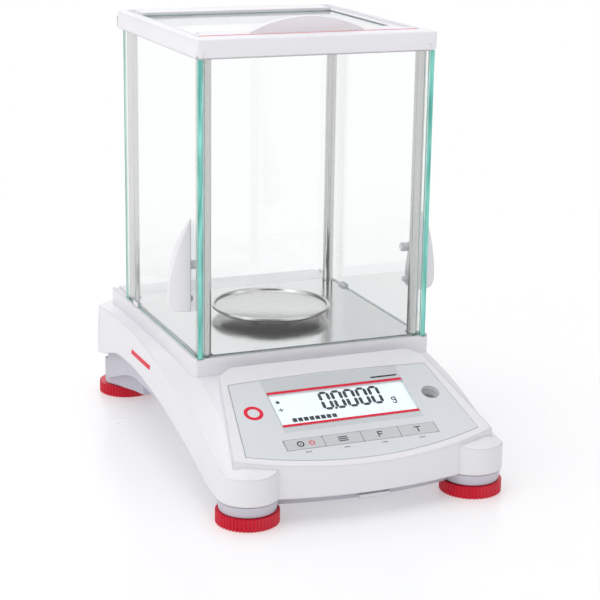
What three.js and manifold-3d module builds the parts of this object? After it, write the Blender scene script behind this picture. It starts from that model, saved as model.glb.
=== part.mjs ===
// Analytical balance with a glass draft shield: a three.js assembly in millimetres, +Z up.
// X is to the right, -Y is the front where the console is, and the feet stand on z = 0.
import * as THREE from 'three';
import { mergeVertices } from 'three/addons/utils/BufferGeometryUtils.js';
import Module from 'manifold-3d';

const wasm = await Module();
wasm.setup();

// ---- driving dimensions -------------------------------------------------------------------------
const gap = 0.3;                 // clearance between two pieces that touch
const wall = 2.5;                // moulded wall thickness

const foot = { radius: 21.7, height: 8.6, top: 8.9, knurl: 0.9, front: [83.3, -144.7], rear: [79.3, 144.7] };
const ribs = 52;                 // knurls around a foot wheel
const stud = { radius: 3.9, top: 26, clearance: 0.3 };
const pad = { radius: 9, height: 1.6 };
const screw = { x: 52, front: -70, rear: 130, head: 3, shank: 1.4, bossRadius: 4.6, bossBottom: 15, top: 30 };

const skirt = { half: 104.8, brimHalf: 101.6, crestHalf: 89, rear: 150, corner: 14, podRadius: 21.5 };
const deck = { half: 90.4, front: -58.8, rear: 146, top: 87.4, corner: 3 };
const console_ = { slope: 0.44, originY: -100, originZ: 67.4, rear: -67, frontMid: -166.4, frontRadius: 290 };
const lower = { half: 97, rear: 147, podRadius: 17.8, floor: 12, frontMid: -154, bellyHalf: 60 };
const collar = { bottom: 9.5, top: 17, bottomRadius: 19.4, topRadius: 20.9 };  // round each front foot

const frame = { half: 89.3, front: -59.2, rear: 125.1, bottom: 295.6, top: 309 };
const opening = { half: 76.3, front: -42.5, rear: 101.6, ledgeHalf: 82.5, ledgeDrop: 1.7 };
const post = { radius: 4, x: 80.2, front: -50.4, rear: 107, bottom: 80, top: 304 };
const door = { inner: 84.5, outer: 88, front: -57.4, rear: 113, bottom: 86.8, top: 301 };
const pane = { half: 84, thickness: 3, bottom: 86.6, top: 300 };
const frontPaneY = -57.7;
const rearPaneY = 111.5;
const topGlass = { half: 80.6, front: -40.2, rear: 104, bottom: 303.3, top: 306.6 };

const plate = { half: 83, front: -54.2, rear: 111.1, bottom: 87.7, top: 88.5 };
const pan = { radius: 45, y: 29.3, rim: 97.2 };
const fin = {
  y: -44, z: 117.7, height: 66, reach: 14.6, depth: 20, pinY: -32, upperPin: 148.5, lowerPin: 124,
};

const overlay = { thickness: 0.8, topHalf: 75, bottomHalf: 85.7, top: 17.6, bottom: -52.4, bulge: 14 };
const screen = { half: 51.4, top: 6.2, bottom: -29.8 };
const keys = { half: 56, top: -42, bottom: -51.8, names: ['zero', 'print', 'function', 'tare'] };
const level = {
  x: 66.8, y: -12.2, radius: 6.5, vialRadius: 5.2, cupRadius: 9, cupTop: -4.4, cupFloor: -14.8,
};
const rearPorts = { z: 58, dcX: -46, serialX: -8, usbX: 30, face: 150.5 };
const bar = { front: -42.2, rear: -20, halfWide: 82, half: 75.9, bottom: 306.9, grip: 43.5, gripRise: 10.4 };

// ---- materials ----------------------------------------------------------------------------------
const finish = (color, roughness, metalness = 0, opacity = 1) => new THREE.MeshStandardMaterial({
  color, roughness, metalness, opacity, transparent: opacity < 1,
});
const white = () => finish(0xe6e3ea, 0.4);
const grey = () => finish(0xbdbac8, 0.5);
const glass = () => finish(0xcfeee8, 0.05, 0, 0.3);
const steel = () => finish(0xc4c5c6, 0.22, 1);
const red = () => finish(0xd9142c, 0.4);
const black = () => finish(0x1d1e20, 0.5);
const green = () => finish(0x1f5b3a, 0.6);

// ---- solids -------------------------------------------------------------------------------------
// A closed mesh from a three.js geometry, without the thin triangles that a pole leaves behind.
function solid(geometry) {
  const bare = geometry.clone();
  bare.deleteAttribute('normal');
  bare.deleteAttribute('uv');
  const merged = mergeVertices(bare, 1e-4);
  const index = merged.index.array;
  const triVerts = [];
  for (let i = 0; i < index.length; i += 3) {
    const [a, b, c] = [index[i], index[i + 1], index[i + 2]];
    if (a !== b && b !== c && c !== a) triVerts.push(a, b, c);
  }
  return new wasm.Manifold(new wasm.Mesh({
    numProp: 3,
    vertProperties: new Float32Array(merged.attributes.position.array),
    triVerts: new Uint32Array(triVerts),
  }));
}

function geometryOf(manifold) {
  const mesh = manifold.getMesh();
  const indexed = new THREE.BufferGeometry();
  indexed.setAttribute('position', new THREE.BufferAttribute(mesh.vertProperties, 3));
  indexed.setIndex(new THREE.BufferAttribute(mesh.triVerts, 1));
  const faceted = indexed.toNonIndexed();
  faceted.computeVertexNormals();
  return faceted;
}

// The same solid carried by a matrix. A mirror turns a face inside out, so its corners are swapped.
function moved(manifold, matrix) {
  const geometry = geometryOf(manifold).applyMatrix4(matrix);
  const corners = geometry.attributes.position;
  if (matrix.determinant() < 0) {
    for (let i = 0; i < corners.count; i += 3) {
      const [first, third] = [0, 2].map((n) => new THREE.Vector3().fromBufferAttribute(corners, i + n));
      corners.setXYZ(i, ...third);
      corners.setXYZ(i + 2, ...first);
    }
  }
  return solid(geometry);
}

const mirrored = (manifold) => moved(manifold, new THREE.Matrix4().makeScale(-1, 1, 1));

const join = (...parts) => parts.reduce((whole, part) => whole.add(part));
const cut = (body, ...tools) => tools.reduce((rest, tool) => rest.subtract(tool), body);

function box(x0, x1, y0, y1, z0, z1) {
  const geometry = new THREE.BoxGeometry(x1 - x0, y1 - y0, z1 - z0);
  geometry.translate((x0 + x1) / 2, (y0 + y1) / 2, (z0 + z1) / 2);
  return solid(geometry);
}

// An upright rod, or one along X or Y.
function rod(radius, z0, z1, x = 0, y = 0, sides = 32, topRadius = radius) {
  const geometry = new THREE.CylinderGeometry(topRadius, radius, z1 - z0, sides);
  geometry.rotateX(Math.PI / 2);
  geometry.translate(x, y, (z0 + z1) / 2);
  return solid(geometry);
}

function rodX(radius, x0, x1, y, z, sides = 20) {
  const geometry = new THREE.CylinderGeometry(radius, radius, x1 - x0, sides);
  geometry.rotateZ(Math.PI / 2);
  geometry.translate((x0 + x1) / 2, y, z);
  return solid(geometry);
}

function rodY(radius, y0, y1, x, z, sides = 20) {
  const geometry = new THREE.CylinderGeometry(radius, radius, y1 - y0, sides);
  geometry.translate(x, (y0 + y1) / 2, z);
  return solid(geometry);
}

const outline = (points) => new THREE.Shape(points.map(([u, v]) => new THREE.Vector2(u, v)));

// A prism of an outline drawn in XY, in YZ (extruded along X) or in XZ (extruded along Y).
function extruded(shape, length, curveSegments) {
  return new THREE.ExtrudeGeometry(shape, { depth: length, bevelEnabled: false, curveSegments });
}

function prism(shape, z0, z1, curveSegments = 8) {
  return solid(extruded(shape, z1 - z0, curveSegments).translate(0, 0, z0));
}

function prismX(shape, x0, x1, curveSegments = 8) {
  const geometry = extruded(shape, x1 - x0, curveSegments).translate(0, 0, x0);
  geometry.applyMatrix4(new THREE.Matrix4().set(0, 0, 1, 0, 1, 0, 0, 0, 0, 1, 0, 0, 0, 0, 0, 1));
  return solid(geometry);
}

function prismY(shape, y0, y1, curveSegments = 8) {
  return solid(extruded(shape, y1 - y0, curveSegments).rotateX(Math.PI / 2).translate(0, y1, 0));
}

function roundedRectangle(x0, x1, y0, y1, r) {
  const shape = new THREE.Shape();
  shape.moveTo(x0 + r, y0);
  shape.lineTo(x1 - r, y0).absarc(x1 - r, y0 + r, r, -Math.PI / 2, 0);
  shape.lineTo(x1, y1 - r).absarc(x1 - r, y1 - r, r, 0, Math.PI / 2);
  shape.lineTo(x0 + r, y1).absarc(x0 + r, y1 - r, r, Math.PI / 2, Math.PI);
  shape.lineTo(x0, y0 + r).absarc(x0 + r, y0 + r, r, Math.PI, Math.PI * 1.5);
  return shape;
}

function lathe(profile, segments = 56) {
  const geometry = new THREE.LatheGeometry(profile.map(([r, z]) => new THREE.Vector2(r, z)), segments);
  return solid(geometry.rotateX(Math.PI / 2));
}

// A skin through rings of points in XZ, one ring for each y, closed by a cap at either end.
function loft(rings, ys) {
  const count = rings[0].length;
  const positions = rings.flatMap((ring, i) => ring.flatMap(([x, z]) => [x, ys[i], z]));
  const index = [];
  for (let i = 0; i + 1 < rings.length; i++) {
    for (let j = 0; j < count; j++) {
      const [a, b] = [i * count + j, i * count + ((j + 1) % count)];
      index.push(a, a + count, b, b, a + count, b + count);
    }
  }
  const last = (rings.length - 1) * count;
  const capFaces = (ring) => THREE.ShapeUtils.triangulateShape(
    ring.map(([x, z]) => new THREE.Vector2(x, z)), []);
  capFaces(rings[0]).forEach(([a, b, c]) => index.push(a, b, c));
  capFaces(rings[rings.length - 1]).forEach(([a, b, c]) => index.push(last + a, last + c, last + b));
  const geometry = new THREE.BufferGeometry();
  geometry.setAttribute('position', new THREE.Float32BufferAttribute(positions, 3));
  geometry.setIndex(index);
  return solid(geometry);
}

// A smooth height along the length of the balance: a curve through a few [y, z] points, which never
// swings past them.
function heightCurve(points) {
  const rises = points.slice(1).map(([y, z], i) => (z - points[i][1]) / (y - points[i][0]));
  const slopes = points.map((_, i) => {
    const [before, after] = [rises[Math.max(i - 1, 0)], rises[Math.min(i, rises.length - 1)]];
    return before * after <= 0 ? 0 : (2 * before * after) / (before + after);
  });
  return (y) => {
    const inside = Math.min(Math.max(y, points[0][0]), points[points.length - 1][0]);
    const i = Math.max(points.findIndex(([end], n) => n > 0 && inside <= end) - 1, 0);
    const [[y0, z0], [y1, z1]] = [points[i], points[i + 1]];
    const span = y1 - y0;
    const t = (inside - y0) / span;
    const [t2, t3] = [t * t, t * t * t];
    return z0 * (2 * t3 - 3 * t2 + 1) + slopes[i] * span * (t3 - 2 * t2 + t)
      + z1 * (3 * t2 - 2 * t3) + slopes[i + 1] * span * (t3 - t2);
  };
}

function range(from, to, steps) {
  return Array.from({ length: steps + 1 }, (_, i) => from + ((to - from) * i) / steps);
}

// ---- upper housing ------------------------------------------------------------------------------
// Heights along y: the top beside the console and deck, the skirt's upper edge, and its lower edge.
const crest = heightCurve([
  [-168, 35.8], [-150, 41.5], [-120, 53], [-86, 67], [-58, 74.6], [0, 76], [150, 75]]);
const brim = heightCurve([
  [-168, 34.5], [-140, 38], [-89, 55], [-40, 62.5], [0, 71], [45, 76], [95, 77], [150, 72]]);
const hem = heightCurve([
  [-168, 17.5], [-140, 18], [-80, 33], [0, 49], [50, 52.6], [80, 51.4], [122, 40], [150, 35]]);

const screwPlaces = [screw.front, screw.rear].flatMap((y) => [[-screw.x, y], [screw.x, y]]);

const panelHeight = (y) => console_.originZ + console_.slope * (y - console_.originY);

function skirtBody(inset) {
  const ys = range(-168, skirt.rear - inset, 20);
  const rings = ys.map((y) => {
    const [top, edge] = [crest(y) - inset, Math.min(brim(y), crest(y) + 1) - inset];
    const lean = (skirt.half - skirt.brimHalf) / (brim(y) - hem(y));
    const side = [[skirt.brimHalf + lean * brim(y) - inset, 0]];
    for (const t of [0, 0.25, 0.5, 0.75, 1]) {
      const x = skirt.brimHalf - (skirt.brimHalf - skirt.crestHalf) * t - inset;
      side.push([x, edge + (top - edge) * t ** 0.75]);
    }
    return [...side, ...side.map(([x, z]) => [-x, z]).reverse()];
  });
  return loft(rings, ys);
}

// The plan that pods, sides and rounded rear corners share, as an upright prism.
function basePlan(half, rear, corner, podRadius, z0, z1) {
  const sides = prism(roundedRectangle(-half, half, foot.front[1] - podRadius / 2, rear, corner), z0, z1, 6);
  const straight = box(-half, half, foot.front[1], 0, z0, z1);
  const pods = [-1, 1].map((side) => rod(podRadius, z0, z1, side * foot.front[0], foot.front[1], 36));
  const trimmed = sides.subtract(box(-half - 1, half + 1, -200, foot.front[1], z0 - 1, z1 + 1));
  return join(trimmed, straight, ...pods);
}

function consoleShape(inset) {
  const { rear, frontMid, frontRadius } = console_;
  const radius = frontRadius - inset;
  const centreY = frontMid + frontRadius;
  const corner = 95.5 - inset;
  const angle = Math.asin(corner / radius);
  const shape = new THREE.Shape();
  shape.moveTo(-corner, centreY - radius * Math.cos(angle));
  shape.absarc(0, centreY, radius, -Math.PI / 2 - angle, -Math.PI / 2 + angle);
  shape.lineTo(78 - inset, -74 - inset);
  shape.lineTo(68 - inset, rear - inset);
  shape.lineTo(-68 + inset, rear - inset);
  shape.lineTo(-78 + inset, -74 - inset);
  return shape;
}

// The wall under the panel is thicker than the rest, to leave a floor under the key pocket.
function consoleBody(inset) {
  const drop = inset * 1.7;
  const underPanel = outline([
    [-180, 0], [-40, 0], [-40, panelHeight(-40) - drop], [-180, panelHeight(-180) - drop],
  ]);
  return prism(consoleShape(inset), 0, 110, 20).intersect(prismX(underPanel, -110, 110));
}

function deckBody(inset) {
  const plan = roundedRectangle(
    -deck.half + inset, deck.half - inset, deck.front + inset, deck.rear - inset, deck.corner);
  return prism(plan, 0, deck.top - inset, 4);
}

function housingBody(inset) {
  const { half, rear, corner, podRadius } = skirt;
  const plan = basePlan(half - inset, rear - inset, corner, podRadius - inset, -1, 120);
  return join(skirtBody(inset).intersect(plan), consoleBody(inset), deckBody(inset));
}

function aboveHem(offset) {
  const ys = range(-172, 156, 24);
  return prismX(outline([[156, 200], [-172, 200], ...ys.map((y) => [y, hem(y) + offset])]), -120, 120);
}

// The console's features are drawn in the panel's own plane: u across, v up the slope.
const panelTilt = Math.atan(console_.slope);
const panelPlace = new THREE.Matrix4()
  .makeTranslation(0, console_.originY, console_.originZ)
  .multiply(new THREE.Matrix4().makeRotationX(panelTilt));
const onPanel = (manifold) => moved(manifold, panelPlace);

function overlayShape(grow) {
  const { topHalf, bottomHalf, top, bottom, bulge } = overlay;
  const shape = new THREE.Shape();
  shape.moveTo(-bottomHalf - grow, bottom - grow);
  shape.quadraticCurveTo(0, bottom - 2 * bulge - grow, bottomHalf + grow, bottom - grow);
  shape.lineTo(topHalf + grow, top + grow);
  shape.quadraticCurveTo(0, top + grow + 4.6, -topHalf - grow, top + grow);
  return shape;
}

const keyWidth = (2 * keys.half) / keys.names.length;
const keyLeft = (i) => -keys.half + i * keyWidth;
const keyMiddle = (i) => keyLeft(i) + keyWidth / 2;
const keyMid = (keys.top + keys.bottom) / 2;


function guidePocket(side) {
  const [a, b] = [door.inner - 1.6, door.outer + 1.5].map((x) => x * side);
  return box(Math.min(a, b), Math.max(a, b), 79.6, 91.4, deck.top - 2, deck.top + 1);
}

function doorGroove(side, grow, z0, z1, y0, y1) {
  const [a, b] = [door.inner - grow, door.outer + grow].map((x) => x * side);
  return box(Math.min(a, b), Math.max(a, b), y0, y1, z0, z1);
}

const paneSeat = (y, z0, z1) => box(
  -pane.half - gap, pane.half + gap, y - gap, y + pane.thickness + gap, z0, z1);

function upperHousing() {
  const shell = cut(housingBody(0).intersect(aboveHem(0)), housingBody(wall));
  const postBosses = [-1, 1].flatMap((side) => [post.front, post.rear].map(
    (y) => rod(post.radius + 3, 66, deck.top - 1, side * post.x, y, 24)));
  const screwBosses = screwPlaces.map(([x, y]) => rod(
    screw.bossRadius, screw.bossBottom, Math.min(panelHeight(y) - 2, deck.top - 1), x, y, 20));
  const panelCuts = [
    prism(overlayShape(gap), -1.1, 4, 24),
    box(-screen.half - 1, screen.half + 1, screen.bottom - 1, screen.top + 1, -8, 4),
    ...keys.names.map((_, i) => rod(2.2, -8, 4, keyMiddle(i), keyMid, 16)),
    ...keys.names.map((_, i) => box(
      keyLeft(i) - gap, keyLeft(i) + keyWidth + gap, keys.bottom - gap, keys.top + gap, -2, 4)),
    rod(level.radius, -20, 4, level.x, level.y, 32),
  ].map(onPanel);
  const deckCuts = [
    ...[-1, 1].flatMap((side) => [post.front, post.rear].map(
      (y) => rod(post.radius + gap, post.bottom - gap, 100, side * post.x, y, 24))),
    ...[-1, 1].map((side) => doorGroove(side, 0.35, 86.1, 90, deck.front - 1, deck.rear + 5)),
    ...[-1, 1].map(guidePocket),
    ...[frontPaneY, rearPaneY].map((y) => paneSeat(y, pane.bottom - 0.5, deck.top + 3)),
    rod(15, 60, 100, 0, pan.y, 32),
  ];
  const { z, dcX, serialX, usbX } = rearPorts;
  const portCuts = [
    rodY(6 + gap, 140, 160, dcX, z, 32),
    box(serialX - 15.8, serialX + 15.8, 140, 160, z - 6.5, z + 6.5),
    box(usbX - 6.4, usbX + 6.4, 140, 160, z - 6, z + 6),
  ];
  const screwHoles = screwPlaces.map(([x, y]) => rod(screw.shank + gap, 0, screw.top + 1, x, y, 16));
  const whole = join(shell, ...postBosses, ...screwBosses);
  return cut(whole, ...panelCuts, ...deckCuts, ...portCuts, ...screwHoles);
}

// ---- lower housing ------------------------------------------------------------------------------
// The side walls arch up between the front pods and the rear legs.
const arch = heightCurve([
  [-168, 9.5], [-122, 9.5], [-100, 30], [-40, 37], [60, 37], [90, 31], [115, 22], [148, 10]]);

const feet = [
  ['front_left', -foot.front[0], foot.front[1]],
  ['front_right', foot.front[0], foot.front[1]],
  ['rear_left', -foot.rear[0], foot.rear[1]],
  ['rear_right', foot.rear[0], foot.rear[1]],
];

function lowerPlan(inset, z0, z1) {
  const plan = basePlan(lower.half - inset, lower.rear - inset, 12, lower.podRadius - inset, z0, z1);
  const radius = console_.frontRadius - 12 - inset;
  const centreY = lower.frontMid + console_.frontRadius - 12;
  const angle = Math.asin(72 / radius);
  const strip = new THREE.Shape();
  strip.moveTo(-72, centreY - radius * Math.cos(angle));
  strip.absarc(0, centreY, radius, -Math.PI / 2 - angle, -Math.PI / 2 + angle);
  strip.lineTo(72, -120).lineTo(-72, -120);
  return plan.add(prism(strip, z0, z1, 16));
}

function lowerHousing() {
  const ys = range(-172, 156, 24);
  const rim = (y) => Math.max(hem(y) + 5, arch(y) + 6);
  const between = (low, high) => prismX(outline([
    ...ys.map((y) => [y, low(y)]), ...ys.map((y) => [y, high(y)]).reverse(),
  ]), -120, 120);
  const belly = prism(roundedRectangle(-lower.bellyHalf, lower.bellyHalf, -140, 140, 8), lower.floor, 60);
  const sides = lowerPlan(0, 0, 90).intersect(between(arch, rim));
  const outer = join(sides, belly.intersect(between(() => 0, rim)));
  const bellyHollow = prism(roundedRectangle(
    -lower.bellyHalf + wall, lower.bellyHalf - wall, -140 + wall, 140 - wall, 6), lower.floor + wall, 120);
  const sideHollow = lowerPlan(wall, 0, 120).intersect(between((y) => arch(y) + wall, () => 110));
  const hollow = join(sideHollow, bellyHollow);
  const shell = cut(outer, hollow);
  const bosses = feet.map(([, x, y]) => rod(stud.radius + 3, 9.5, 33, x, y, 32));
  const collars = [-1, 1].map((side) => rod(
    collar.bottomRadius, collar.bottom, collar.top, side * foot.front[0], foot.front[1], 36, collar.topRadius));
  const leg = prism(outline([
    [lower.half, 145], [60, 145], [60, 100], [79, 100], [83, 113], [90, 127], [lower.half, 139],
  ]), 9.5, 30);
  const bores = feet.map(([, x, y]) => rod(stud.radius + stud.clearance, 0, 34, x, y, 24));
  const hookHole = rod(11, 0, 20, 0, pan.y, 32);
  const screwHoles = screwPlaces.map(([x, y]) => rod(screw.shank + gap, 0, 60, x, y, 16));
  const whole = join(shell, leg, mirrored(leg), ...bosses, ...collars);
  return cut(whole, ...bores, hookHole, ...screwHoles);
}

// ---- small parts of the base ---------------------------------------------------------------------
function floorPlate() {
  const sheet = box(-plate.half, plate.half, plate.front, plate.rear, plate.bottom, plate.top);
  const reach = post.radius + gap;
  const notches = [-1, 1].flatMap((side) => [post.front, post.rear].map((y) => {
    const [inner, end] = [side * (post.x - reach), y < 0 ? plate.front - 1 : plate.rear + 1];
    const [x0, x1] = [Math.min(inner, side * 90), Math.max(inner, side * 90)];
    return box(x0, x1, Math.min(end, y - reach), Math.max(end, y + reach), 80, 100);
  }));
  return cut(sheet, ...notches, rod(11, 80, 100, 0, pan.y, 32));
}

// The sockets are drawn about their own axis, which runs along Y.
function serialPort() {
  const shell = box(-15.5, 15.5, rearPorts.face - 9.5, rearPorts.face, -6.2, 6.2);
  const flare = outline([[-8.6, 4], [8.6, 4], [7.2, -4], [-7.2, -4]]);
  const pin = (x, z) => rodY(0.55, rearPorts.face - 6.5, rearPorts.face - 1, x, z, 8);
  const upperRow = range(-5.6, 5.6, 4).map((x) => pin(x, 1.4));
  const lowerRow = range(-4.2, 4.2, 3).map((x) => pin(x, -1.4));
  return join(cut(shell, prismY(flare, rearPorts.face - 5.5, rearPorts.face + 1)), ...upperRow, ...lowerRow);
}

function dcInlet() {
  const body = rodY(6, rearPorts.face - 12, rearPorts.face + 0.5, 0, 0, 32);
  const well = rodY(3.2, rearPorts.face - 8, rearPorts.face + 1, 0, 0, 24);
  return join(cut(body, well), rodY(1, rearPorts.face - 10, rearPorts.face - 1, 0, 0, 12));
}

function usbPort() {
  const body = box(-6.1, 6.1, rearPorts.face - 12, rearPorts.face + 0.3, -5.7, 5.7);
  const mouth = outline([[-4.3, -4], [4.3, -4], [4.3, 2.2], [2.6, 4], [-2.6, 4], [-4.3, 2.2]]);
  const tongue = box(-2.8, 2.8, rearPorts.face - 10, rearPorts.face - 1.5, -1.6, 1.6);
  return join(cut(body, prismY(mouth, rearPorts.face - 8, rearPorts.face + 1)), tongue);
}

// ---- weighing parts -----------------------------------------------------------------------------
function weighingPan() {
  const { radius, rim } = pan;
  const dish = [
    [0, rim - 3.2], [radius - 5, rim - 3.2], [radius - 3.2, rim - 2.4], [radius - 2.2, rim - 0.6],
    [radius - 1.4, rim - 0.1], [radius - 0.5, rim - 0.2], [radius, rim - 1], [radius - 0.1, rim - 1.9],
    [radius - 1, rim - 2.4], [radius - 1.9, rim - 3.3], [radius - 4, rim - 4.2], [15.5, rim - 4.2],
    [14.5, rim - 4.8], [14.2, rim - 7], [12.8, rim - 7.8], [6, rim - 7.8], [4.6, rim - 4.6], [0, rim - 4.6],
  ];
  return lathe(dish.reverse());
}

function panSupport() {
  const { rim } = pan;
  const profile = [
    [0, 62], [9, 62], [9, 65], [4.2, 65], [4.2, rim - 8.6], [5.4, rim - 7.4], [4.2, rim - 5], [0, rim - 5],
  ];
  return lathe(profile, 32);
}

function loadCell() {
  const body = prism(roundedRectangle(-36, 36, -22, 92, 6), 18.6, 58);
  const neck = rod(14, 58, 61.6, 0, pan.y, 32);
  const step = prism(roundedRectangle(-30, 30, 40, 86, 5), 58, 63);
  return join(body, neck, step);
}

function loadCellBase() {
  const slab = prism(roundedRectangle(-46, 46, -34, 104, 8), 14.8, 18.3);
  const holes = [[-40, -28], [40, -28], [-40, 98], [40, 98]].map(([x, y]) => rod(2, 0, 30, x, y, 16));
  return cut(slab, ...holes);
}

function mainBoard() {
  const board = box(-46, 46, 108, 134.5, 30, 31.6);
  const chips = [[-32, 118, 14], [-8, 122, 18], [26, 118, 12]].map(
    ([x, y, size]) => box(x - size / 2, x + size / 2, y - size / 3, y + size / 3, 31.5, 34.5));
  return join(board, ...chips);
}

// ---- console parts, drawn in the panel's plane ----------------------------------------------------
function keypadOverlay() {
  const sheet = prism(overlayShape(0), -0.8, 0, 24);
  const window = box(-screen.half, screen.half, screen.bottom, screen.top, -3, 3);
  const keyHole = box(-keys.half - gap, keys.half + gap, keys.bottom - gap, keys.top + gap, -3, 3);
  return cut(sheet, window, keyHole, rod(level.radius, -3, 3, level.x, level.y, 32));
}

function displayWindow() {
  const { half, top, bottom } = screen;
  return box(-half + gap, half - gap, bottom + gap, top - gap, -1.6, -0.1);
}

function lcdPanel() {
  const { half, top, bottom } = screen;
  return box(-half + gap, half - gap, bottom + gap, top - gap, -4.6, -1.9);
}

function displayBoard() {
  const board = box(-57, 57, -52, 9, -7.6, -6);
  const switches = keys.names.map((_, i) => box(
    keyMiddle(i) - 3, keyMiddle(i) + 3, keyMid - 3, keyMid + 3, -6.1, -4.4));
  return join(board, ...switches);
}

// A key's flat cap with the plunger under it, drawn about its own centre.
function keyCap() {
  const [half, depth] = [keyWidth / 2 - 0.2, (keys.top - keys.bottom) / 2];
  const cap = prism(roundedRectangle(-half, half, -depth, depth, 0.8), -1.2, 0.1, 4);
  return join(cap, rod(1.6, -3.6, -1.1, 0, 0, 16));
}

// A cup round the bubble level, hung under the panel and square to it.
function levelHolder() {
  const cup = rod(level.cupRadius, level.cupFloor, level.cupTop, 0, 0, 40);
  return cut(cup, rod(level.radius - 0.1, level.cupFloor + 1.4, 0, 0, 0, 32));
}

// ---- draft shield ---------------------------------------------------------------------------------
function topFrame() {
  const { half, front, rear, bottom, top } = frame;
  const ring = prism(roundedRectangle(-half, half, front, rear, 3), bottom, top, 5);
  const ledge = top - opening.ledgeDrop;
  const slot = { half: topGlass.half + 0.4, top: topGlass.top + gap };
  const cuts = [
    box(-opening.half, opening.half, opening.front, opening.rear, bottom - 1, top + 1),
    box(-opening.ledgeHalf, opening.ledgeHalf, opening.front, opening.rear + 20, ledge, top + 1),
    box(-slot.half, slot.half, opening.front, rear + 1, topGlass.bottom - 0.4, slot.top),
    ...[-1, 1].map((side) => doorGroove(side, 0.4, bottom - 1, door.top + 0.6, door.front - 0.4, rear + 1)),
    ...[frontPaneY, rearPaneY].map((y) => paneSeat(y, bottom - 1, pane.top + gap)),
    ...[-1, 1].flatMap((side) => [post.front, post.rear].map(
      (y) => rod(post.radius + gap, bottom - 1, bottom + 6, side * post.x, y, 24))),
  ];
  const rearCap = box(-opening.half, opening.half, opening.rear, rear, ledge - 0.1, top);
  return cut(ring, ...cuts).add(rearCap.subtract(box(-100, 100, 0, 200, top - 20, slot.top)));
}

const framePosts = [-1, 1].flatMap((side) => [['front', post.front], ['rear', post.rear]].map(
  ([end, y]) => [`${end}_${side < 0 ? 'left' : 'right'}_post`, side * post.x, y]));

function doorGlass(side) {
  const { inner, outer, front, rear, bottom, top } = door;
  const [a, b] = [inner * side, outer * side];
  const sheet = box(Math.min(a, b), Math.max(a, b), front, rear, bottom, top);
  const holes = [fin.upperPin, fin.lowerPin].map((z) => rodX(2.6, -100, 100, fin.pinY, z));
  return cut(sheet, ...holes);
}

// The fin: a tall half-moon, thick where it meets the glass and thin at its outer edge and its tip.
function doorHandle(side) {
  const face = door.outer + gap;
  const { y, z, height, reach, depth, pinY } = fin;
  const front = new THREE.Shape();
  front.moveTo(face, z);
  front.lineTo(face + reach - 5, z + 0.4);
  front.quadraticCurveTo(face + reach, z + 1.2, face + reach, z + 9);
  front.bezierCurveTo(face + reach, z + 26, face + reach * 0.62, z + 46, face, z + height);
  const plan = outline([
    [face, y], [face + reach * 0.5, y + 1.6], [face + reach, y + 4.5], [face + reach, y + 8],
    [face + reach * 0.45, y + depth * 0.62], [face, y + depth],
  ]);
  const back = new THREE.Shape();
  back.moveTo(y - 5, z - 5);
  back.lineTo(y + depth + 1, z - 5);
  back.lineTo(y + depth + 1, z + 4);
  back.quadraticCurveTo(y + depth * 0.85, z + height * 0.55, y + 1.5, z + height + 2);
  back.lineTo(y - 5, z + height + 2);
  const blade = prismY(front, y - 5, y + 30, 12)
    .intersect(prism(plan, z - 5, z + height + 5))
    .intersect(prismX(back, 0, 200, 10));
  const pins = [fin.upperPin, fin.lowerPin].map((pinZ) => rodX(2.2, door.inner - 4, face + 2, pinY, pinZ));
  return turned(join(blade, ...pins), side);
}

// The right-hand piece as drawn, or the left-hand one as its mirror image.
function turned(manifold, side) {
  return side > 0 ? manifold : mirrored(manifold);
}

function doorKnob(side) {
  const inside = door.inner - gap;
  const { pinY, upperPin } = fin;
  const body = join(
    rodX(3.3, inside - 5.4, inside, pinY, upperPin, 24),
    rodX(2.7, inside - 6.2, inside - 5.2, pinY, upperPin, 24),
  );
  return turned(body.subtract(rodX(2.5, inside - 4.2, inside + 1, pinY, upperPin)), side);
}

function doorGuide(side) {
  const clip = box(door.inner - 1.2, door.outer + 1.2, 80, 91, deck.top - 1.7, deck.top + 3.4);
  const slot = box(door.inner - 0.35, door.outer + 0.35, 70, 100, deck.top - 1, deck.top + 9);
  return turned(clip.subtract(slot), side);
}

function topDoorBar() {
  const { front, rear, halfWide, half, bottom, grip, gripRise } = bar;
  const wing = box(-halfWide, halfWide, front, -30, frame.top - opening.ledgeDrop + 0.3, frame.top);
  const slab = box(-half, half, front, rear, bottom, frame.top);
  const lip = box(-half, half, front, topGlass.front - gap, topGlass.bottom, frame.top - 0.5);
  const radius = (grip ** 2 + gripRise ** 2) / (2 * gripRise);
  const angle = Math.asin(grip / radius);
  const moon = new THREE.Shape();
  moon.moveTo(grip, frame.top - 1);
  moon.absarc(0, frame.top + gripRise - radius, radius, Math.PI / 2 - angle, Math.PI / 2 + angle);
  moon.lineTo(-grip, frame.top - 1);
  const side = outline([[-36.5, frame.top - 1], [-35, 325], [-32, 325], [-27.5, frame.top - 1]]);
  const blade = prismY(moon, -40, -20, 24).intersect(prismX(side, -60, 60));
  const trimSeat = box(-90, 90, front - 1, front + 1.9, frame.top - 1.2, frame.top + 1);
  return cut(join(wing, slab, lip, blade), trimSeat);
}

function topDoorTrim() {
  const half = bar.halfWide - 0.6;
  return box(-half, half, bar.front, bar.front + 1.6, frame.top - 0.9, frame.top + 0.15);
}

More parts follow.
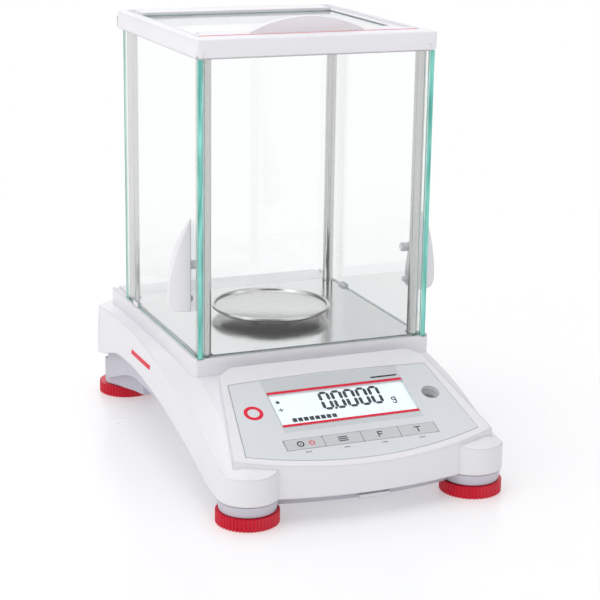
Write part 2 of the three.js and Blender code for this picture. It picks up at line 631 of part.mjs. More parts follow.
// ---- feet -----------------------------------------------------------------------------------------
// Each foot is drawn about its own axis: a knurled wheel on a stud, and a pad that stays still.
function footWheel() {
  const rim = new THREE.Shape();
  const steps = ribs * 4;
  for (let i = 0; i < steps; i++) {
    const raised = i % 4 < 2;
    const radius = raised ? foot.radius : foot.radius - foot.knurl;
    const angle = ((i + (raised ? 0.15 : -0.15)) / steps) * Math.PI * 2;
    const [u, v] = [radius * Math.cos(angle), radius * Math.sin(angle)];
    if (i === 0) rim.moveTo(u, v);
    else rim.lineTo(u, v);
  }
  const wheel = prism(rim, foot.top - foot.height, foot.top);
  const seat = rod(pad.radius + 0.6, -1, pad.height + 0.4, 0, 0, 40);
  return cut(wheel, seat, rod(stud.radius + stud.clearance, -1, 20, 0, 0, 24));
}

function footStud() {
  return join(
    rod(stud.radius, pad.height + 0.7, stud.top, 0, 0, 24),
    rod(stud.radius - 0.6, stud.top - 0.1, stud.top + 1.5, 0, 0, 24),
  );
}

// ---- assembly ---------------------------------------------------------------------------------------
const balance = new THREE.Group();

function group(x, y, z, tilt = 0) {
  const nested = new THREE.Group();
  nested.position.set(x, y, z);
  nested.rotation.x = tilt;
  balance.add(nested);
  return nested;
}

function add(name, manifold, material, parent = balance, place = [0, 0, 0], tilt = 0) {
  const mesh = new THREE.Mesh(geometryOf(manifold), material);
  mesh.name = name;
  mesh.position.set(...place);
  mesh.rotation.x = tilt;
  parent.add(mesh);
}

add('upper_housing', upperHousing(), white());
add('lower_housing', lowerHousing(), grey());
add('floor_plate', floorPlate(), steel());
add('hook_cover', rod(13, 10.4, 11.7, 0, 0, 40), grey(), balance, [0, pan.y, 0]);
add('front_tab', box(-11.5, 11.5, -2.1, 2.1, -1.4, 1.4), white(), balance, [3.5, -156.4, 11.6]);
add('dc_inlet', dcInlet(), black(), balance, [rearPorts.dcX, 0, rearPorts.z]);
add('serial_port', serialPort(), steel(), balance, [rearPorts.serialX, 0, rearPorts.z]);
add('usb_port', usbPort(), steel(), balance, [rearPorts.usbX, 0, rearPorts.z]);
screwPlaces.forEach(([x, y], i) => {
  const body = join(rod(screw.head, 10.2, 11.7, 0, 0, 20), rod(screw.shank, 11.6, screw.top, 0, 0, 12));
  add(`housing_screw_${i + 1}`, body, steel(), balance, [x, y, 0]);
});

add('weighing_pan', weighingPan(), steel(), balance, [0, pan.y, 0]);
add('pan_support', panSupport(), steel(), balance, [0, pan.y, 0]);
add('load_cell', loadCell(), finish(0xa8abae, 0.4, 1));
add('load_cell_base', loadCellBase(), finish(0x8d9093, 0.4, 1));
add('main_board', mainBoard(), green());

const panel = group(0, console_.originY, console_.originZ, panelTilt);
add('keypad_overlay', keypadOverlay(), finish(0xdbe0e4, 0.45), panel);
add('display_window', displayWindow(), glass(), panel);
add('lcd_panel', lcdPanel(), finish(0xeef6f8, 0.4), panel);
add('display_board', displayBoard(), green(), panel);
keys.names.forEach((name, i) => {
  add(`${name}_key`, keyCap(), finish(0xd5dade, 0.45), panel, [keyMiddle(i), keyMid, 0]);
});
add('level_holder', levelHolder(), black(), panel, [level.x, level.y, 0]);
const vial = rod(level.vialRadius, -2, 2, 0, 0, 32);
add('level_vial', vial, finish(0xd8e27a, 0.1, 0, 0.6), panel, [level.x, level.y, -8.8], -panelTilt);

for (const [name, x, y] of framePosts) {
  add(name, rod(post.radius, post.bottom, post.top - 3, 0, 0, 28), steel(), balance, [x, y, 0]);
}
add('top_frame', topFrame(), white());
const sheet = box(-pane.half, pane.half, 0, pane.thickness, pane.bottom, pane.top);
add('front_glass', sheet, glass(), balance, [0, frontPaneY, 0]);
add('rear_glass', sheet, glass(), balance, [0, rearPaneY, 0]);
for (const [name, side] of [['left', -1], ['right', 1]]) {
  add(`${name}_door_glass`, doorGlass(side), glass());
  add(`${name}_door_handle`, doorHandle(side), white());
  add(`${name}_door_knob`, doorKnob(side), white());
  add(`${name}_door_guide`, doorGuide(side), white());
}
add('top_door_glass', box(
  -topGlass.half, topGlass.half, topGlass.front, topGlass.rear, topGlass.bottom, topGlass.top), glass());
add('top_door_bar', topDoorBar(), white());
add('top_door_trim', topDoorTrim(), red());

for (const [name, x, y] of feet) {
  const place = group(x, y, 0);
  add(`${name}_wheel`, footWheel(), red(), place);
  add(`${name}_stud`, footStud(), steel(), place);
  add(`${name}_pad`, rod(pad.radius, 0, pad.height, 0, 0, 40), black(), place);
}

export default balance;
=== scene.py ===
# Analytical balance: materials, printed details, floor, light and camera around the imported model.
import math

import bmesh
import bpy
from mathutils import Matrix, Vector


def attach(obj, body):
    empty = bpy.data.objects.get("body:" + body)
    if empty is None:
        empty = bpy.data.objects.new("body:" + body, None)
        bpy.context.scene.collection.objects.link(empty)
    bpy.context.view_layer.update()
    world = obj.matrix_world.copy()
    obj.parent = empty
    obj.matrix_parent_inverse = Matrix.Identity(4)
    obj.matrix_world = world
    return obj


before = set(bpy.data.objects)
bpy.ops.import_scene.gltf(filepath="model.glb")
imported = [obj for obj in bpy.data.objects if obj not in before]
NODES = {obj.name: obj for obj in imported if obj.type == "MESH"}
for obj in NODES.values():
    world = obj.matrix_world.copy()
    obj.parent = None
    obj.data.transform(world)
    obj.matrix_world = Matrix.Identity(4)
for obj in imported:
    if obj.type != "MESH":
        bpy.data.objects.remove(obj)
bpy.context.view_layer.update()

# ---- sizes, in metres ---------------------------------------------------------------------------
PANEL_ORIGIN = Vector((0.0, -0.1, 0.0674))
PANEL_TILT = math.atan(0.44)
SCREEN_TOP, SCREEN_BOTTOM = 0.0062, -0.0298
LEVEL = (0.0668, -0.0122)
KEY_HALF, KEY_TOP, KEY_BOTTOM = 0.056, -0.042, -0.0518
KEY_NAMES = ("zero", "print", "function", "tare")
INK = 0.00008                     # thickness of a printed mark
EDGE = 0.0006                     # radius that the shader gives to a sharp moulded edge
WELD = 1e-6                       # corners closer than this are one
SMOOTH_BELOW = math.radians(28)   # edges flatter than this are shaded smooth
BEVEL_ABOVE = math.radians(32)    # edges sharper than this can be rounded

WHITE = (0.87, 0.86, 0.89)
GREY = (0.63, 0.62, 0.69)
RED = (0.70, 0.004, 0.03)
BRIGHT_RED = (0.83, 0.0, 0.035)


# ---- materials ----------------------------------------------------------------------------------
class Material:
    """A material being built: its node tree, its shader, and short ways to add nodes."""

    def __init__(self, name, color, roughness, metallic=0.0):
        self.data = bpy.data.materials.new(name)
        self.data.use_nodes = True
        self.tree = self.data.node_tree
        self.shader = self.tree.nodes["Principled BSDF"]
        self.shader.inputs["Base Color"].default_value = (*color, 1)
        self.shader.inputs["Roughness"].default_value = roughness
        self.shader.inputs["Metallic"].default_value = metallic
        self.color, self.roughness = color, roughness
        self.place = self.node("ShaderNodeTexCoord").outputs["Object"]

    def node(self, kind, **settings):
        made = self.tree.nodes.new(kind)
        for key, value in settings.items():
            setattr(made, key, value)
        return made

    def link(self, source, target):
        self.tree.links.new(source, target)

    def scaled(self, scale, centre=(0, 0, 0)):
        mapping = self.node("ShaderNodeMapping")
        mapping.inputs["Scale"].default_value = scale
        mapping.inputs["Location"].default_value = [-c * s for c, s in zip(centre, scale)]
        self.link(self.place, mapping.inputs["Vector"])
        return mapping.outputs[0]

    def noise(self, scale, detail=3.0, vector=None):
        made = self.node("ShaderNodeTexNoise")
        made.inputs["Scale"].default_value = scale
        made.inputs["Detail"].default_value = detail
        self.link(vector or self.place, made.inputs["Vector"])
        return made.outputs[0]

    def range(self, source, low, high, source_low=0.3, source_high=0.7):
        made = self.node("ShaderNodeMapRange")
        made.inputs["From Min"].default_value = source_low
        made.inputs["From Max"].default_value = source_high
        made.inputs["To Min"].default_value = low
        made.inputs["To Max"].default_value = high
        self.link(source, made.inputs["Value"])
        return made.outputs[0]

    def blend(self, factor, first, second):
        made = self.node("ShaderNodeMix", data_type="RGBA")
        self.link(factor, made.inputs["Factor"])
        for socket, value in ((made.inputs[6], first), (made.inputs[7], second)):
            if isinstance(value, bpy.types.NodeSocket):
                self.link(value, socket)
            else:
                socket.default_value = (*value, 1)
        return made.outputs[2]

    def math(self, operation, first, second=0.0):
        made = self.node("ShaderNodeMath", operation=operation)
        for socket, value in zip(made.inputs, (first, second)):
            if isinstance(value, bpy.types.NodeSocket):
                self.link(value, socket)
            else:
                socket.default_value = value
        return made.outputs[0]

    def mixed(self, factor, first, second):
        """Two shaders mixed, the second where the factor is 1."""
        made = self.node("ShaderNodeMixShader")
        for source, socket in zip((factor, first, second), made.inputs):
            self.link(source, socket)
        return made.outputs[0]

    def clear_to_lamps(self, tint=(1, 1, 1)):
        """The shader, but shadow rays pass through it, so that what lies behind stays lit."""
        open_air = self.node("ShaderNodeBsdfTransparent")
        open_air.inputs["Color"].default_value = (*tint, 1)
        shadow_ray = self.node("ShaderNodeLightPath").outputs["Is Shadow Ray"]
        return self.mixed(shadow_ray, self.shader.outputs[0], open_air.outputs[0])

    def surface(self, source):
        self.link(source, self.tree.nodes["Material Output"].inputs["Surface"])

    def vary(self, scale, share):
        """The colour drifts a little, darker and lighter."""
        darker = [c * (1 - share) for c in self.color]
        lighter = [min(c * (1 + share * 0.4), 1) for c in self.color]
        self.paint(self.blend(self.range(self.noise(scale), 0, 1), darker, lighter))

    def paint(self, color):
        self.link(color, self.shader.inputs["Base Color"])

    def uneven_gloss(self, scale, spread, vector=None):
        low, high = self.roughness - spread, self.roughness + spread
        gloss = self.range(self.noise(scale, detail=4, vector=vector), low, high)
        self.link(gloss, self.shader.inputs["Roughness"])

    def bump(self, height, distance, strength=0.3, edge=EDGE):
        made = self.node("ShaderNodeBump")
        made.inputs["Strength"].default_value = strength
        made.inputs["Distance"].default_value = distance
        self.link(height, made.inputs["Height"])
        if edge:
            rounding = self.node("ShaderNodeBevel", samples=4)
            rounding.inputs["Radius"].default_value = edge
            self.link(rounding.outputs[0], made.inputs["Normal"])
        self.link(made.outputs[0], self.shader.inputs["Normal"])


def plastic(name, color, roughness, edge=EDGE):
    """Fine-grained moulded plastic, a little uneven in colour and gloss."""
    made = Material(name, color, roughness)
    made.vary(scale=14, share=0.025)
    made.uneven_gloss(scale=45, spread=0.05)
    made.bump(made.noise(2600, detail=2), distance=0.00004, strength=0.25, edge=edge)
    return made.data


def brushed(name, color, roughness, stretch, edge=0.0003, grain=0.12):
    """Metal brushed along one direction, which is the one with the smallest stretch."""
    made = Material(name, color, roughness, 1.0)
    lines = made.scaled(stretch)
    groove = [c * 0.9 for c in color]
    made.paint(made.blend(made.range(made.noise(1, 3, lines), 0, 1), groove, color))
    made.uneven_gloss(scale=1, spread=0.04, vector=lines)
    made.bump(made.noise(1, 2, lines), distance=0.00003, strength=grain, edge=edge)
    return made.data


def turned_metal(name, color, roughness, centre):
    """Metal with fine rings about an upright axis, as spinning leaves on a dish."""
    made = Material(name, color, roughness, 1.0)
    parts = made.node("ShaderNodeSeparateXYZ")
    made.link(made.scaled((1, 1, 1), centre), parts.inputs[0])
    across = made.math("POWER", parts.outputs["X"], 2.0)
    along = made.math("POWER", parts.outputs["Y"], 2.0)
    radius = made.math("SQRT", made.math("ADD", across, along))
    joined = made.node("ShaderNodeCombineXYZ")
    made.link(radius, joined.inputs["X"])
    rings = made.noise(2400, detail=2, vector=joined.outputs[0])
    groove = [c * 0.88 for c in color]
    made.paint(made.blend(made.range(rings, 0, 1), groove, color))
    made.link(made.range(rings, roughness - 0.04, roughness + 0.06), made.shader.inputs["Roughness"])
    made.bump(rings, distance=0.00003, strength=0.15, edge=0.0004)
    return made.data


def pane(name, thin_axis):
    """Clear sheet glass, faintly smudged, whose ground edges show green in uneven streaks and carry a
    painted glow: an emission that stands in for light led along the glass.
    """
    made = Material(name, (0.985, 1.0, 0.995), 0.0)
    made.shader.inputs["IOR"].default_value = 1.5
    made.shader.inputs["Transmission Weight"].default_value = 1.0
    smudge = made.range(made.noise(22, detail=4), 0.0, 0.015)
    made.link(smudge, made.shader.inputs["Roughness"])

    # An edge is wherever the surface faces well away from the pane's thin direction.
    facing = made.node("ShaderNodeSeparateXYZ")
    made.link(made.node("ShaderNodeNewGeometry").outputs["Normal"], facing.inputs[0])
    flatness = made.math("ABSOLUTE", facing.outputs[thin_axis])
    on_edge = made.math("LESS_THAN", flatness, 0.7)

    rim = made.node("ShaderNodeBsdfPrincipled")
    streaks = made.range(made.noise(1, detail=3, vector=made.scaled((400, 400, 30))), 0, 1)
    green = made.blend(streaks, (0.05, 0.34, 0.28), (0.30, 0.76, 0.68))
    # painted glow: the edges' emission, brighter on the lighter streaks, stands in for light led along the
    # glass; the green itself is the glass's own colour
    glow = made.blend(streaks, (0.01, 0.10, 0.08), (0.06, 0.26, 0.22))
    made.link(green, rim.inputs["Base Color"])
    made.link(glow, rim.inputs["Emission Color"])
    for socket, value in {"Roughness": 0.12, "Coat Weight": 0.4, "Emission Strength": 0.4}.items():
        rim.inputs[socket].default_value = value
    made.surface(made.mixed(on_edge, made.clear_to_lamps((0.96, 0.985, 0.975)), rim.outputs[0]))
    return made.data


def clear_film(name):
    made = Material(name, (0.96, 0.99, 1.0), 0.08)
    made.shader.inputs["Transmission Weight"].default_value = 1.0
    made.shader.inputs["IOR"].default_value = 1.25
    made.uneven_gloss(scale=60, spread=0.03)
    made.surface(made.clear_to_lamps())
    return made.data


def lcd(name):
    """A lit display: faint lines across it and a soft unevenness in the backlight."""
    made = Material(name, (0.90, 0.94, 0.96), 0.35)
    rows = made.node("ShaderNodeTexWave", wave_type="BANDS", bands_direction="X")
    rows.inputs["Scale"].default_value = 900
    made.link(made.place, rows.inputs["Vector"])
    faint = made.range(rows.outputs[1], 0.0, 0.35, source_low=0, source_high=1)
    made.paint(made.blend(faint, (0.90, 0.945, 0.965), (0.84, 0.90, 0.93)))
    backlight = made.blend(made.noise(20), (0.80, 0.90, 0.95), (0.90, 0.96, 1.0))
    made.link(backlight, made.shader.inputs["Emission Color"])
    made.shader.inputs["Emission Strength"].default_value = 0.25
    made.bump(made.noise(900, detail=2), distance=0.00002, strength=0.1, edge=0)
    return made.data


def fluid(name):
    made = Material(name, (0.46, 0.50, 0.44), 0.08)
    made.vary(scale=90, share=0.05)
    made.shader.inputs["Coat Weight"].default_value = 1.0
    made.bump(made.noise(300, detail=2), distance=0.00002, strength=0.1, edge=0.0003)
    return made.data


def board(name):
    """Solder mask over faint copper tracks."""
    made = Material(name, (0.03, 0.22, 0.09), 0.35)
    cells = made.node("ShaderNodeTexVoronoi", distance="MANHATTAN")
    cells.inputs["Scale"].default_value = 220
    made.link(made.place, cells.inputs["Vector"])
    tracks = made.math("LESS_THAN", cells.outputs["Distance"], 0.25)
    made.paint(made.blend(tracks, (0.02, 0.17, 0.07), (0.05, 0.30, 0.13)))
    made.bump(cells.outputs["Distance"], distance=0.00005, strength=0.3, edge=0.0002)
    return made.data


def rubber(name):
    made = Material(name, (0.03, 0.03, 0.032), 0.75)
    made.vary(scale=80, share=0.3)
    made.bump(made.noise(1200, detail=3), distance=0.00008, strength=0.5)
    return made.data


def skirt_plastic(name):
    """The housing's plastic: a fine spark-eroded grain over a soft, nearly matt white."""
    made = Material(name, WHITE, 0.36)
    made.vary(scale=9, share=0.018)
    made.uneven_gloss(scale=30, spread=0.05)
    coarse = made.math("MULTIPLY", made.noise(900, detail=3), 0.5)
    grain = made.math("ADD", made.noise(3000, detail=2), coarse)
    made.bump(grain, distance=0.00004, strength=0.22, edge=0.0017)
    made.shader.inputs["Coat Weight"].default_value = 0.12
    made.shader.inputs["Coat Roughness"].default_value = 0.25
    return made.data


housing = skirt_plastic("housing_plastic")
shield_plastic = plastic("shield_plastic", (0.90, 0.89, 0.92), 0.33, edge=0.0012)
lower_plastic = plastic("lower_plastic", GREY, 0.45, edge=0.001)
red_plastic = plastic("red_plastic", RED, 0.34, edge=0.0003)
trim_red = plastic("trim_red", BRIGHT_RED, 0.3, edge=0.0002)
black_plastic = plastic("black_plastic", (0.03, 0.03, 0.034), 0.45, edge=0.0003)
film = plastic("panel_film", (0.75, 0.775, 0.80), 0.42, edge=0.0003)
key_film = plastic("key_film", (0.62, 0.64, 0.655), 0.4, edge=0.0003)
post_steel = brushed("post_steel", (0.60, 0.59, 0.59), 0.11, (900, 900, 8), edge=0, grain=0.015)
plate_steel = brushed("plate_steel", (0.74, 0.74, 0.74), 0.14, (10, 1400, 1400))
pan_steel = turned_metal("pan_steel", (0.70, 0.69, 0.68), 0.24, centre=(0, 0.0293, 0))
screw_steel = brushed("screw_steel", (0.6, 0.6, 0.6), 0.3, (900, 900, 60))
alloy = brushed("cast_alloy", (0.5, 0.51, 0.52), 0.45, (500, 500, 500))
green_board = board("circuit_board")
glass_x, glass_y, glass_z = pane("side_glass", "X"), pane("end_glass", "Y"), pane("top_glass", "Z")

FINISH = {
    "upper_housing": housing, "lower_housing": lower_plastic, "hook_cover": lower_plastic,
    "front_tab": shield_plastic, "floor_plate": plate_steel, "dc_inlet": black_plastic,
    "serial_port": screw_steel, "usb_port": screw_steel, "weighing_pan": pan_steel,
    "pan_support": screw_steel, "load_cell": alloy, "load_cell_base": alloy,
    "main_board": green_board, "display_board": green_board, "keypad_overlay": film,
    "display_window": clear_film("display_window_film"), "lcd_panel": lcd("lcd_panel_lit"),
    "level_holder": shield_plastic, "level_vial": fluid("level_fluid"), "top_frame": shield_plastic,
    "front_glass": glass_y, "rear_glass": glass_y, "top_door_glass": glass_z,
    "left_door_glass": glass_x, "right_door_glass": glass_x,
    "top_door_bar": shield_plastic, "top_door_trim": trim_red,
}
BY_ENDING = {
    "_key": key_film, "_post": post_steel, "_wheel": red_plastic, "_stud": screw_steel,
    "_pad": rubber("pad_rubber"), "_handle": shield_plastic, "_knob": shield_plastic,
    "_guide": shield_plastic,
}


def finish_for(name):
    if name in FINISH:
        return FINISH[name]
    if name.startswith("housing_screw"):
        return screw_steel
    return next(made for ending, made in BY_ENDING.items() if name.endswith(ending))


# ---- smooth shading -------------------------------------------------------------------------------
def smoothing_group():
    """Geometry nodes that shade a mesh smooth, but keep its sharp edges sharp."""
    tree = bpy.data.node_groups.new("smooth_by_angle", "GeometryNodeTree")
    tree.interface.new_socket("Geometry", in_out="INPUT", socket_type="NodeSocketGeometry")
    tree.interface.new_socket("Geometry", in_out="OUTPUT", socket_type="NodeSocketGeometry")
    start, end = tree.nodes.new("NodeGroupInput"), tree.nodes.new("NodeGroupOutput")
    angle = tree.nodes.new("GeometryNodeInputMeshEdgeAngle")
    gentle = tree.nodes.new("FunctionNodeCompare")
    gentle.operation = "LESS_EQUAL"
    gentle.inputs["B"].default_value = SMOOTH_BELOW
    merge = tree.nodes.new("GeometryNodeMergeByDistance")
    merge.inputs["Distance"].default_value = WELD
    faces, edges = (tree.nodes.new("GeometryNodeSetShadeSmooth") for _ in range(2))
    faces.domain, edges.domain = "FACE", "EDGE"
    tree.links.new(start.outputs[0], merge.inputs["Geometry"])
    tree.links.new(merge.outputs[0], faces.inputs["Geometry"])
    tree.links.new(faces.outputs[0], edges.inputs["Geometry"])
    tree.links.new(angle.outputs["Unsigned Angle"], gentle.inputs["A"])
    tree.links.new(gentle.outputs[0], edges.inputs["Shade Smooth"])
    tree.links.new(edges.outputs[0], end.inputs[0])
    return tree


SMOOTHING = smoothing_group()


def smoothed(piece):
    piece.modifiers.new("smooth_by_angle", "NODES").node_group = SMOOTHING


# ---- rounded edges --------------------------------------------------------------------------------
def add_field(tree, kind, first, second=None, **settings):
    made = tree.nodes.new(kind)
    for key, value in settings.items():
        setattr(made, key, value)
    for socket, value in zip(made.inputs, (first, second)):
        if isinstance(value, bpy.types.NodeSocket):
            tree.links.new(value, socket)
        elif value is not None:
            socket.default_value = value
    return made.outputs[0]


def inside_box(tree, place, low, high):
    """1 where a place is inside the box from low to high, in millimetres."""
    centre = [(a + b) / 2000 for a, b in zip(low, high)]
    half = [(b - a) / 2000 for a, b in zip(low, high)]
    away = add_field(tree, "ShaderNodeVectorMath", place, centre, operation="SUBTRACT")
    away = add_field(tree, "ShaderNodeVectorMath", away, operation="ABSOLUTE")
    away = add_field(tree, "ShaderNodeVectorMath", away, half, operation="SUBTRACT")
    parts = tree.nodes.new("ShaderNodeSeparateXYZ")
    tree.links.new(away, parts.inputs[0])
    most = add_field(tree, "ShaderNodeMath", parts.outputs[0], parts.outputs[1], operation="MAXIMUM")
    most = add_field(tree, "ShaderNodeMath", most, parts.outputs[2], operation="MAXIMUM")
    return add_field(tree, "ShaderNodeMath", most, 0.0, operation="LESS_THAN")


def edge_weight_group(name, boxes):
    """Geometry nodes that give a bevel weight of 1 to the sharp edges inside the boxes, and 0 elsewhere."""
    tree = bpy.data.node_groups.new(name, "GeometryNodeTree")
    tree.interface.new_socket("Geometry", in_out="INPUT", socket_type="NodeSocketGeometry")
    tree.interface.new_socket("Geometry", in_out="OUTPUT", socket_type="NodeSocketGeometry")
    start, end = tree.nodes.new("NodeGroupInput"), tree.nodes.new("NodeGroupOutput")
    place = tree.nodes.new("GeometryNodeInputPosition").outputs[0]
    angle = tree.nodes.new("GeometryNodeInputMeshEdgeAngle").outputs[0]
    sharp = add_field(tree, "ShaderNodeMath", angle, BEVEL_ABOVE, operation="GREATER_THAN")
    inside = add_field(tree, "ShaderNodeMath", 0.0, 0.0, operation="ADD")
    for low, high in boxes:
        box = inside_box(tree, place, low, high)
        inside = add_field(tree, "ShaderNodeMath", inside, box, operation="MAXIMUM")
    weight = add_field(tree, "ShaderNodeMath", inside, sharp, operation="MULTIPLY")
    merge = tree.nodes.new("GeometryNodeMergeByDistance")
    merge.inputs["Distance"].default_value = WELD
    store = tree.nodes.new("GeometryNodeStoreNamedAttribute")
    store.data_type, store.domain = "FLOAT", "EDGE"
    store.inputs["Name"].default_value = "bevel_weight_edge"
    tree.links.new(start.outputs[0], merge.inputs["Geometry"])
    tree.links.new(merge.outputs[0], store.inputs["Geometry"])
    tree.links.new(weight, store.inputs["Value"])
    tree.links.new(store.outputs[0], end.inputs[0])
    return tree


def rounded_edges(node, width, boxes):
    """Rounds a node's sharp edges inside the boxes, each a (low, high) pair of corners in millimetres."""
    piece = NODES[node]
    piece.modifiers.new("edge_weights", "NODES").node_group = edge_weight_group(f"{node}_edges", boxes)
    rounding = piece.modifiers.new("rounded_edges", "BEVEL")
    rounding.limit_method = "WEIGHT"
    rounding.width = width
    rounding.segments = 4
    rounding.use_clamp_overlap = False
    rounding.miter_outer = "MITER_ARC"


def rim_bands(low, high, side, end):
    """The slabs just inside a box's four sides: end is their thickness front and rear, side the others'."""
    (x0, y0, z0), (x1, y1, z1) = low, high
    return [((x0, y0, z0), (x1, y0 + end, z1)), ((x0, y1 - end, z0), (x1, y1, z1)),
            ((x0, y0, z0), (x0 + side, y1, z1)), ((x1 - side, y0, z0), (x1, y1, z1))]


# The box is a little larger than top_frame, so that the bands take in its outer edges.
FRAME_LOW, FRAME_HIGH = (-91, -61, 294), (91, 127, 311)
rounded_edges("top_frame", 0.0016, rim_bands(FRAME_LOW, FRAME_HIGH, side=2.4, end=3.5))
for name, piece in NODES.items():
    piece.data.materials.clear()
    piece.data.materials.append(finish_for(name))
    smoothed(piece)


# ---- printed and fitted details --------------------------------------------------------------------
PANEL = Matrix.Translation(PANEL_ORIGIN) @ Matrix.Rotation(PANEL_TILT, 4, "X")


def made_piece(name, mesh, material, body="base"):
    mesh.materials.append(material)
    piece = bpy.data.objects.new(name, mesh)
    bpy.context.scene.collection.objects.link(piece)
    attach(piece, body)
    return piece


def outline_mesh(name, outlines, height, matrix):
    """Thin prints: each outline is a list of (u, v) corners, raised to one height and made INK thick."""
    shape = bmesh.new()
    for outline in outlines:
        face = shape.faces.new([shape.verts.new((u, v, height)) for u, v in outline])
        if face.normal.length == 0:
            face.normal_update()
        if face.normal.z < 0:
            face.normal_flip()
        grown = bmesh.ops.extrude_face_region(shape, geom=[face])
        corners = [g for g in grown["geom"] if isinstance(g, bmesh.types.BMVert)]
        bmesh.ops.translate(shape, verts=corners, vec=(0, 0, INK))
    bmesh.ops.recalc_face_normals(shape, faces=shape.faces)
    shape.transform(matrix)
    mesh = bpy.data.meshes.new(name)
    shape.to_mesh(mesh)
    shape.free()
    return mesh


def rounded(u0, u1, v0, v1, radius, steps=5):
    corners = ((u1 - radius, v1 - radius, 0), (u0 + radius, v1 - radius, 90),
               (u0 + radius, v0 + radius, 180), (u1 - radius, v0 + radius, 270))
    return [
        (u + radius * math.cos(math.radians(turn + 90 * i / steps)),
         v + radius * math.sin(math.radians(turn + 90 * i / steps)))
        for u, v, turn in corners for i in range(steps + 1)
    ]


def ring_parts(u, v, outer, inner, start=0.0, end=360.0, steps=32):
    """A ring as short flat quads, so that no outline needs a hole."""
    parts = []
    for i in range(steps):
        a, b = (math.radians(start + (end - start) * (i + n) / steps) for n in (0, 1))
        parts.append([(u + r * math.cos(t), v + r * math.sin(t))
                      for r, t in ((inner, a), (outer, a), (outer, b), (inner, b))])
    return parts


# A digit's seven bars as (place across, place up, lies flat), and the ones that a zero lights.
BARS = {
    "top": (0, 1, True), "middle": (0, 0, True), "bottom": (0, -1, True),
    "upper_left": (-1, 0.5, False), "upper_right": (1, 0.5, False),
    "lower_left": (-1, -0.5, False), "lower_right": (1, -0.5, False),
}
ZERO_BARS = [bar for bar in BARS if bar != "middle"]
DIGIT_HALF_WIDE, DIGIT_HALF_TALL, DIGIT_STROKE, DIGIT_LEAN = 0.0030, 0.0080, 0.0023, 0.02
BAR_GAP = DIGIT_STROKE * 0.12     # what each end of a bar keeps clear of its neighbour


def digit(u, v, bars):
    """The lit bars of one digit, each a six-cornered strip."""
    strips = []
    h = DIGIT_STROKE / 2
    for bar in bars:
        across, up, flat = BARS[bar]
        cu, cv = across * DIGIT_HALF_WIDE, up * DIGIT_HALF_TALL
        length = (DIGIT_HALF_WIDE if flat else DIGIT_HALF_TALL / 2) - BAR_GAP
        if flat:
            corners = [(-length, 0), (-length + h, h), (length - h, h),
                       (length, 0), (length - h, -h), (-length + h, -h)]
        else:
            corners = [(0, length), (h, length - h), (h, -length + h),
                       (0, -length), (-h, -length + h), (-h, length - h)]
        strips.append([(u + cu + a + DIGIT_LEAN * (cv + b), v + cv + b) for a, b in corners])
    return strips


ink_dark = plastic("ink_dark", (0.02, 0.022, 0.03), 0.4, edge=0)
ink_red = plastic("ink_red", BRIGHT_RED, 0.38, edge=0)
ink_grey = plastic("ink_grey", (0.30, 0.32, 0.36), 0.4, edge=0)
ink_zone = plastic("ink_zone", (0.65, 0.675, 0.70), 0.4, edge=0)

# Heights above the panel's plane at which the prints lie.
SEGMENTS_HEIGHT, BARS_HEIGHT = -0.0018, 0.0
FILM_HEIGHT, ZONE_HEIGHT, RAISED_HEIGHT = 0.00001, 0.00002, 0.00012

# The print round the display, darker than the panel, and the two red bars inside the display.
ZONE_HALF, ZONE_TOP, ZONE_BOTTOM = 0.0517, 0.0187, -0.0346
RED_HALF, RED_REACH = 0.0510, 0.0026   # the reach is how far into the screen a bar goes
SCREEN_GAP = 0.0004               # between the screen's edge and each print beside it
made_piece("display_zone_print", outline_mesh("display_zone_print", [
    rounded(-ZONE_HALF, ZONE_HALF, SCREEN_TOP + SCREEN_GAP, ZONE_TOP, 0.0003),
    rounded(-ZONE_HALF, ZONE_HALF, ZONE_BOTTOM, SCREEN_BOTTOM - SCREEN_GAP, 0.0003),
], ZONE_HEIGHT, PANEL), ink_zone)
made_piece("display_red_bars", outline_mesh("display_red_bars", [
    rounded(-RED_HALF, RED_HALF, SCREEN_TOP - RED_REACH, SCREEN_TOP - SCREEN_GAP, 0.0002),
    rounded(-RED_HALF, RED_HALF, SCREEN_BOTTOM + SCREEN_GAP, SCREEN_BOTTOM + RED_REACH, 0.0002),
], BARS_HEIGHT, PANEL), ink_red)

# The lit segments: five zeros with a point after the first, a small g, and at the left a dot, a plus
# sign and a row of squares.
DIGIT_U, DIGIT_V, DIGIT_STEP = 0.0076, -0.0072, 0.0094
segments = [strip for i in range(-2, 3) for strip in digit(DIGIT_U + DIGIT_STEP * i, DIGIT_V, ZERO_BARS)]
segments.append(rounded(-0.0074, -0.0056, DIGIT_V - 0.0092, DIGIT_V - 0.0074, 0.0003))

G_U, G_BOWL_V, G_HOOK_V, G_OUTER, G_INNER = 0.0378, -0.0130, -0.0160, 0.0018, 0.0010
segments += ring_parts(G_U, G_BOWL_V, G_OUTER, G_INNER, steps=20)
segments.append(rounded(0.0387, 0.0396, -0.0162, -0.0112, 0.0002))
segments += ring_parts(G_U, G_HOOK_V, G_OUTER, G_INNER, start=180, end=360, steps=12)

segments += ring_parts(-0.0458, -0.0035, outer=0.0014, inner=0.0, steps=16)
segments.append(rounded(-0.0478, -0.0440, -0.0115, -0.0109, 0.0002))
segments.append(rounded(-0.0462, -0.0456, -0.0130, -0.0094, 0.0002))
SQUARES, SQUARE_STEP = 8, 0.0042
for i in range(SQUARES):
    shift = SQUARE_STEP * i
    segments.append(rounded(-0.0415 + shift, -0.0383 + shift, -0.0242, -0.0206, 0.0004))
made_piece("display_segments", outline_mesh("display_segments", segments, SEGMENTS_HEIGHT, PANEL),
           ink_dark)

